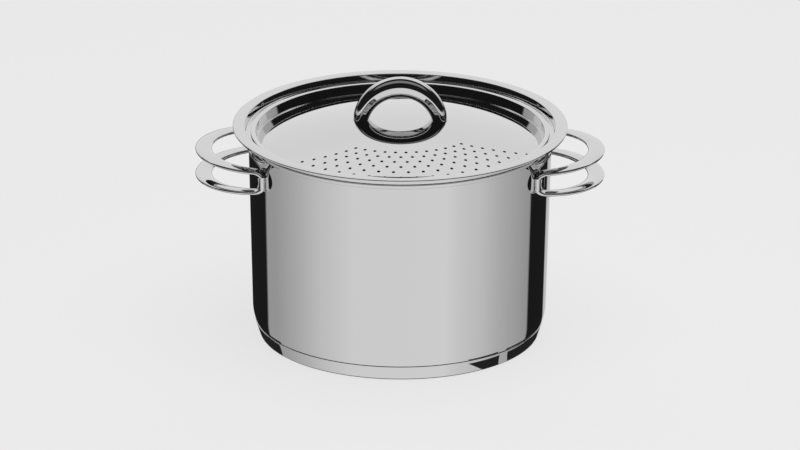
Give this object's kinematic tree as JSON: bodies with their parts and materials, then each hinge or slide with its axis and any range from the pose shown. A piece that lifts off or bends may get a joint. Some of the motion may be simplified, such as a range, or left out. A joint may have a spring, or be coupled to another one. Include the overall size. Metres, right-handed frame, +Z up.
{
  "type": "pasta pot with strainer insert",
  "caption": "Deep lidded steel pot with a thick capsule base, double-loop side handles, a wide-rimmed lift-out strainer basket and a domed straining lid with an arched knob.",
  "frame": {"origin": "middle of the flat underside, where the pot stands on the table", "axes": "+Z up, +X towards the right handle and -X towards the left one, -Y towards the front, where the lid's draining holes are"},
  "size_m": [0.3278, 0.2678, 0.2159],
  "materials": {
    "polished_steel": "mirror-polished stainless steel",
    "satin_steel": "satin stainless steel",
    "base_aluminium": "plain"
  },
  "bodies": {
    "pot": {"pot_body": "polished_steel", "heat_spreader": "base_aluminium", "base_cap": "polished_steel", "left_handle": "polished_steel", "right_handle": "polished_steel"},
    "insert": {"insert_rim": "polished_steel", "insert_wall": "satin_steel", "insert_floor": "satin_steel"},
    "lid": {"lid_plate": "polished_steel", "knob": "polished_steel", "knob_screws": "satin_steel", "knob_washers": "satin_steel"}
  },
  "joints": [
    {"name": "insert_lift", "type": "slide", "parent": "pot", "child": "insert", "axis": [0, 0, 1], "range_m": [0, 0.16]},
    {"name": "lid_lift", "type": "slide", "parent": "insert", "child": "lid", "axis": [0, 0, 1], "range_m": [0, 0.06]}
  ]
}
